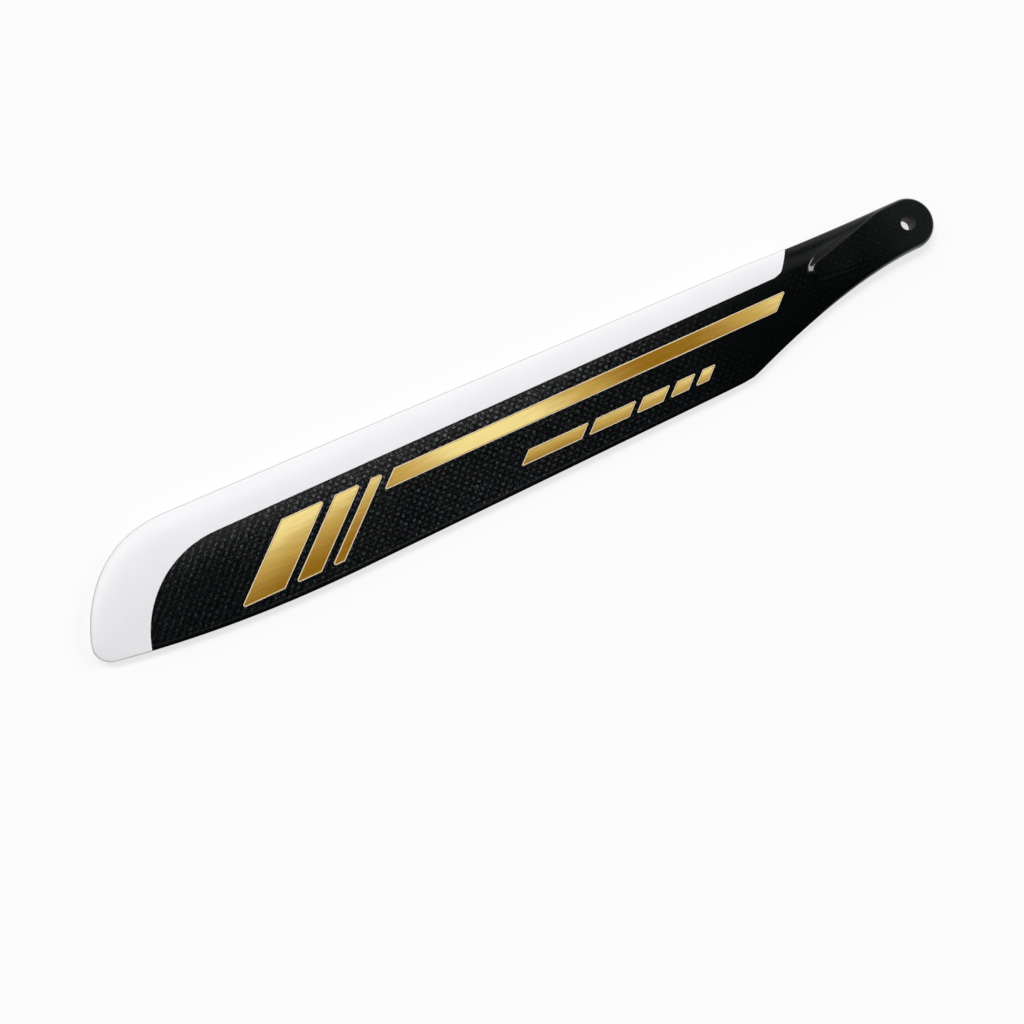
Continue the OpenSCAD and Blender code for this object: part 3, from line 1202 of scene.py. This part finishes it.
    def build(self) -> bpy.types.Object:
        """Makes the closed film of paint with its material.

        Returns:
            The object.
        """
        outside = self.sheet(self.thickness, self.thickness * self.feather)
        inside = self.sheet(-self.sunk, -self.sunk)
        draft = MeshDraft()
        draft.grid(outside)
        draft.grid(inside)
        for i in (0, -1):
            draft.grid(np.stack([outside[i], inside[i]]))
            draft.grid(np.stack([outside[:, i], inside[:, i]]))
        paint = draft.build(self.name, [self.finish.material()], self.sharp)
        self.mark_edge(paint.data)
        return paint


@dataclass(frozen=True)
class FoilPanel:
    """One leaning panel of foil with round corners, seen from above."""

    x: float
    y: float
    length: float
    height: float
    lean: float
    corner_r: float
    corner_steps: int = 4
    least_r: float = 0.12
    step: float = 3.0

    def corners(self) -> Array:
        """The four corners before rounding.

        Returns:
            The corners anticlockwise, from the near left one.
        """
        shift = self.lean * self.height
        low, high = self.y, self.y + self.height
        left, right = self.x, self.x + self.length
        return np.array([[left, low], [right, low], [right + shift, high], [left + shift, high]])

    def corner(self, i: int, inset: float) -> Array:
        """One rounded corner.

        Args:
            i: Number of the corner.
            inset: Distance inside the panel's edge.

        Returns:
            Points of the arc, anticlockwise.
        """
        corners = self.corners()
        spot = corners[i]
        come = spot - corners[i - 1]
        go = corners[(i + 1) % 4] - spot
        come = come / np.linalg.norm(come)
        go = go / np.linalg.norm(go)
        bisector = (go - come) / np.linalg.norm(go - come)
        half_sine = math.sqrt((1.0 + float(come @ go)) / 2.0)
        radius = max(self.corner_r - inset, self.least_r)
        centre = spot + bisector * (inset + radius) / half_sine
        start = math.atan2(-come[0], come[1])
        sweep = math.acos(max(-1.0, min(1.0, float(come @ go))))
        angles = start + sweep * np.linspace(0.0, 1.0, 2 * self.corner_steps + 1)
        return centre + radius * np.stack([np.cos(angles), np.sin(angles)], axis=1)

    def sides(self, inset: float) -> list[Array]:
        """The outline as four sides, each from mid corner to mid corner.

        Args:
            inset: Distance inside the panel's edge.

        Returns:
            Points of the near, right, far and left sides, anticlockwise.
        """
        arcs = [self.corner(i, inset) for i in range(4)]
        counts = [self.length, self.height * math.hypot(1.0, self.lean)] * 2
        sides = []
        for i in range(4):
            first = arcs[i][self.corner_steps :]
            last = arcs[(i + 1) % 4][: self.corner_steps + 1]
            pieces = max(2, math.ceil(counts[i] / self.step))
            run = first[-1] + (last[0] - first[-1]) * np.linspace(0.0, 1.0, pieces + 1)[:, None]
            sides.append(np.concatenate([first[:-1], run, last[1:]]))
        return sides

    def ring(self, inset: float) -> Array:
        """The whole outline, without its last point again."""
        return np.concatenate([side[:-1] for side in self.sides(inset)])

    def patch(self, inset: float) -> Array:
        """Grid of points that fills the outline.

        Args:
            inset: Distance inside the panel's edge.

        Returns:
            Points as far steps by long steps by 2.
        """
        near, right, far, left = self.sides(inset)
        far = far[::-1]
        left = left[::-1]
        s = np.linspace(0.0, 1.0, len(near))[None, :, None]
        t = np.linspace(0.0, 1.0, len(right))[:, None, None]
        ruled = mix(near[None], far[None], t) + mix(left[:, None], right[:, None], s)
        bilinear = mix(mix(near[0], near[-1], s), mix(far[0], far[-1], s), t)
        return ruled - bilinear


@dataclass
class FoilTrim:
    """A group of foil panels on the upper face, each with a pale edge and a fine groove."""

    form: BladeForm
    name: str
    panels: list[FoilPanel]
    thickness: float = 0.15
    sunk: float = 0.05
    bevel: float = 0.10
    edge_w: float = 0.60
    groove_w: float = 0.30
    groove_depth: float = 0.05
    sharp: float = 40.0

    def raised(self, spots: Array, rise: float) -> Array:
        """Lays points that are seen from above at a height over the blade's upper face."""
        height = self.form.half(spots[..., 0], spots[..., 1]) + rise
        return np.concatenate([spots, height[..., None]], axis=-1)

    def add_panel(self, draft: MeshDraft, panel: FoilPanel) -> None:
        """Adds one closed panel to a draft.

        Args:
            draft: The draft to add to.
            panel: The panel.
        """
        top = self.thickness
        inner = self.edge_w + self.groove_w
        low = top - self.groove_depth
        wall = ((0.0, -self.sunk), (0.0, top - self.bevel), (self.bevel, top), (self.edge_w, top))
        groove = ((self.edge_w, top), (self.edge_w, low), (inner, low), (inner, top))
        for layer, profile in ((FoilLayer.EDGE, wall), (FoilLayer.GROOVE, groove)):
            rings = [self.raised(panel.ring(inset), rise) for inset, rise in profile]
            draft.grid(np.stack(rings), closed=True, slot=layer.value)
        draft.grid(self.raised(panel.patch(inner), top), slot=FoilLayer.FIELD.value)
        draft.grid(self.raised(panel.patch(0.0), -self.sunk), slot=FoilLayer.EDGE.value)

    def build(self, materials: list[bpy.types.Material]) -> bpy.types.Object:
        """Makes the group.

        Args:
            materials: Materials of the field, the edge and the groove.

        Returns:
            The object.
        """
        draft = MeshDraft()
        for panel in self.panels:
            self.add_panel(draft, panel)
        return draft.build(self.name, materials, self.sharp)


@dataclass
class FoilLayout:
    """Places of all foil panels: a long stripe, three slanted bars and a row of dashes."""

    form: BladeForm
    lean: float = 1.15
    stripe_y: float = 6.9
    stripe_w: float = 10.3
    stripe_start_x: float = 98.0
    stripe_corner_r: float = 0.8
    bars_from_tip: float = 92.0
    bar_widths: tuple[float, ...] = (9.0, 18.0, 30.0)
    bar_gap: float = 7.0
    bar_h: float = 40.0
    bar_corner_r: float = 1.2
    dash_start_x: float = 163.0
    dash_lengths: tuple[float, ...] = (10.0, 14.0, 20.0, 30.0, 44.0)
    dash_gap: float = 5.0
    dash_y: float = 31.5
    dash_h: float = 8.0
    dash_corner_r: float = 0.6

    @property
    def bars_total(self) -> float:
        """Length of the bars with their gaps."""
        return sum(self.bar_widths) + self.bar_gap * (len(self.bar_widths) - 1)

    @property
    def bars_start_x(self) -> float:
        """Where the innermost bar starts, at the stripe's near edge."""
        return self.form.plan.span - self.bars_from_tip - self.bars_total - self.lean * self.bar_h

    @property
    def stripe_len(self) -> float:
        """Length of the stripe, up to the innermost bar."""
        return self.bars_start_x - self.bar_gap - self.stripe_start_x

    def row(self, start: float, lengths: tuple[float, ...], gap: float, **shape: float) -> list[FoilPanel]:
        """Lays panels one after the other along the span.

        Args:
            start: Where the first panel starts.
            lengths: Length of each panel.
            gap: Distance between two panels.
            shape: What the panels share: their place across the blade, height and corners.

        Returns:
            The panels, from the root outwards.
        """
        starts = [start + sum(lengths[:i]) + gap * i for i in range(len(lengths))]
        return [FoilPanel(x, length=long, lean=self.lean, **shape) for x, long in zip(starts, lengths)]

    def stripe(self) -> list[FoilPanel]:
        """The long stripe on its own."""
        shape = {"y": self.stripe_y, "height": self.stripe_w, "corner_r": self.stripe_corner_r}
        return self.row(self.stripe_start_x, (self.stripe_len,), 0.0, **shape)

    def bars(self) -> list[FoilPanel]:
        """The slanted bars, wider towards the tip."""
        shape = {"y": self.stripe_y, "height": self.bar_h, "corner_r": self.bar_corner_r}
        return self.row(self.bars_start_x, self.bar_widths, self.bar_gap, **shape)

    def dashes(self) -> list[FoilPanel]:
        """The row of dashes, longer towards the tip."""
        shape = {"y": self.dash_y, "height": self.dash_h, "corner_r": self.dash_corner_r}
        return self.row(self.dash_start_x, self.dash_lengths, self.dash_gap, **shape)


@dataclass(frozen=True)
class SoftLamp:
    """A wide soft lamp far away, even over the floor, which glossy faces mirror or not."""

    name: str
    azimuth: float
    elevation: float
    strength: float
    spread: float
    mirrored: bool = True

    def build(self) -> bpy.types.Object:
        """Makes the lamp.

        Returns:
            The lamp's object.
        """
        data = bpy.data.lights.new(self.name, "SUN")
        data.energy = self.strength
        data.angle = math.radians(self.spread)
        lamp = link(self.name, data)
        lamp.visible_glossy = self.mirrored
        lamp.rotation_mode = "QUATERNION"
        lamp.rotation_quaternion = outward(self.azimuth, self.elevation).to_track_quat("Z", "Y")
        return lamp


def outward(azimuth: float, elevation: float) -> Vector:
    """Unit direction outwards, by degrees from -Y towards +X and above the horizon."""
    a, e = math.radians(azimuth), math.radians(elevation)
    return Vector((math.sin(a) * math.cos(e), -math.cos(a) * math.cos(e), math.sin(e)))


@dataclass
class Studio:
    """Pale paper floor, walls that are paler on the leading side, a dim ceiling, and soft lamps."""

    floor_z: float
    floor_size: float = 12000.0
    floor_cuts: int = 24
    floor_sharp: float = 30.0
    wall: float = 0.70
    ceiling: float = 0.029
    wall_top: float = 28.0
    ceiling_start: float = 52.0
    far_wall: float = 0.18
    turn_start: float = -0.10
    turn_end: float = 0.35
    finish: FloorFinish = field(default_factory=FloorFinish)
    lamps: tuple[SoftLamp, ...] = (
        SoftLamp("key_lamp", azimuth=28.0, elevation=58.0, strength=1.64, spread=24.0),
        SoftLamp("fill_lamp", azimuth=262.0, elevation=30.0, strength=1.10, spread=36.0, mirrored=False),
        SoftLamp("bank_lamp", azimuth=348.0, elevation=66.0, strength=0.13, spread=37.0),
        SoftLamp("core_lamp", azimuth=347.0, elevation=63.0, strength=0.55, spread=13.0),
    )

    def build_floor(self) -> bpy.types.Object:
        """Makes the paper floor.

        Returns:
            The floor's object.
        """
        reach = np.linspace(-self.floor_size / 2.0, self.floor_size / 2.0, self.floor_cuts + 1)
        x, y = np.meshgrid(reach, reach)
        draft = MeshDraft()
        draft.grid(np.stack([x, y, np.full_like(x, self.floor_z)], axis=2))
        floor = draft.build("paper_floor", [self.finish.material()], self.floor_sharp)
        if floor.data.polygons[0].normal.z < 0.0:
            floor.data.flip_normals()
        return floor

    def build_world(self) -> None:
        """Makes the pale walls and the dim ceiling as the world's light."""
        world = bpy.data.worlds.new("studio_walls")
        graph = NodeGraph(world)
        run = graph.split(graph.node("ShaderNodeTexCoord", {}).outputs["Generated"])
        top, start = (math.sin(math.radians(angle)) for angle in (self.wall_top, self.ceiling_start))
        level = graph.ease(run[2], top, start, self.wall, self.ceiling)
        side = graph.ease(run[1], self.turn_start, self.turn_end, 1.0, self.far_wall)
        level = graph.math("MULTIPLY", level, side)
        seen = graph.node("ShaderNodeLightPath", {}).outputs["Is Camera Ray"]
        inputs = {"Color": (1.0, 1.0, 1.0, 1.0), "Strength": graph.math("MAXIMUM", level, seen)}
        sky = graph.node("ShaderNodeBackground", inputs)
        graph.node("ShaderNodeOutputWorld", {"Surface": sky.outputs[0]})
        bpy.context.scene.world = world

    def build(self) -> None:
        """Makes the whole studio."""
        self.build_world()
        self.build_floor()
        for lamp in self.lamps:
            lamp.build()
        bpy.context.scene.view_settings.view_transform = "Standard"


@dataclass(frozen=True)
class ProductCamera:
    """Long lens that looks steeply down on the blade, turned so that the blade runs across the picture."""

    target: Triple = (328.08, 62.88, 0.0)
    azimuth: float = 110.49
    elevation: float = 75.57
    roll: float = 43.97
    distance: float = 1516.9
    lens: float = 84.375
    sensor: float = 36.0

    def build(self) -> bpy.types.Object:
        """Makes the camera and hands it to the scene.

        Returns:
            The camera's object.
        """
        data = bpy.data.cameras.new("product_camera")
        data.lens = self.lens
        data.sensor_width = self.sensor
        camera = link("product_camera", data)
        back = outward(self.azimuth, self.elevation)
        turned = back.to_track_quat("Z", "Y").to_matrix() @ Matrix.Rotation(math.radians(self.roll), 3, "Z")
        camera.rotation_mode = "QUATERNION"
        camera.rotation_quaternion = turned.to_quaternion()
        camera.location = (Vector(self.target) + back * self.distance) * MM
        bpy.context.scene.camera = camera
        return camera


def put_in_place(piece: bpy.types.Object, node: str) -> None:
    """Lets a piece stand for its CAD node and reports it.

    Args:
        piece: The finished piece.
        node: Node that it replaces.
    """
    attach(piece, BODY)
    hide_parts(node)
    log.info("%s stands for %s with %d faces", piece.name, node, len(piece.data.polygons))


def blade_form() -> BladeForm:
    """Reads the blade's overall sizes from the frame.

    Returns:
        The form that every piece is laid on.
    """
    low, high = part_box("blade")
    plan = Planform(high.x / MM, -low.x / MM - ROOT_END_SET, high.z / MM, ROOT_END_SET)
    return BladeForm(plan, RootPad(plan.root_r - plan.rim_r, -plan.end_set))


def main() -> None:
    """Builds the camera, the studio and every piece of the blade, in order."""
    logging.basicConfig(level=logging.INFO, format="%(message)s")
    form = blade_form()
    ProductCamera().build()
    Studio(floor_z=-form.plan.root_half).build()
    put_in_place(BladeSkin(form).build(), "blade")
    put_in_place(EdgePaint(form).build(), "white_coat")
    lines = [
        TrimFinish("pale_foil_edge", colour=(0.94, 0.80, 0.54), shade=(0.84, 0.66, 0.40)).material(),
        TrimFinish("dark_foil_groove", colour=(0.50, 0.33, 0.10), shade=(0.40, 0.25, 0.07)).material(),
    ]
    layout = FoilLayout(form)
    # Each foil's painted reflection: where its brightest band lies, the length of one wave, and its slant.
    stripe_foil = FoilFinish("gold_stripe_foil", peak=327.0, cycle=252.0, along_span=1.0, across=0.9)
    bar_foil = FoilFinish("gold_bar_foil", peak=-66.0, cycle=88.0, along_span=-0.15, across=1.0)
    dash_foil = FoilFinish("gold_dash_foil", peak=33.0, cycle=40.0, along_span=0.03, across=1.0)
    for name, panels, foil, node in (
        ("gold_long_stripe", layout.stripe(), stripe_foil, "gold_stripe"),
        ("gold_slanted_bars", layout.bars(), bar_foil, "gold_bars"),
        ("gold_dash_row", layout.dashes(), dash_foil, "gold_dashes"),
    ):
        trim = FoilTrim(form, name, panels)
        put_in_place(trim.build([foil.material(), *lines]), node)


if __name__ == "__main__":
    main()
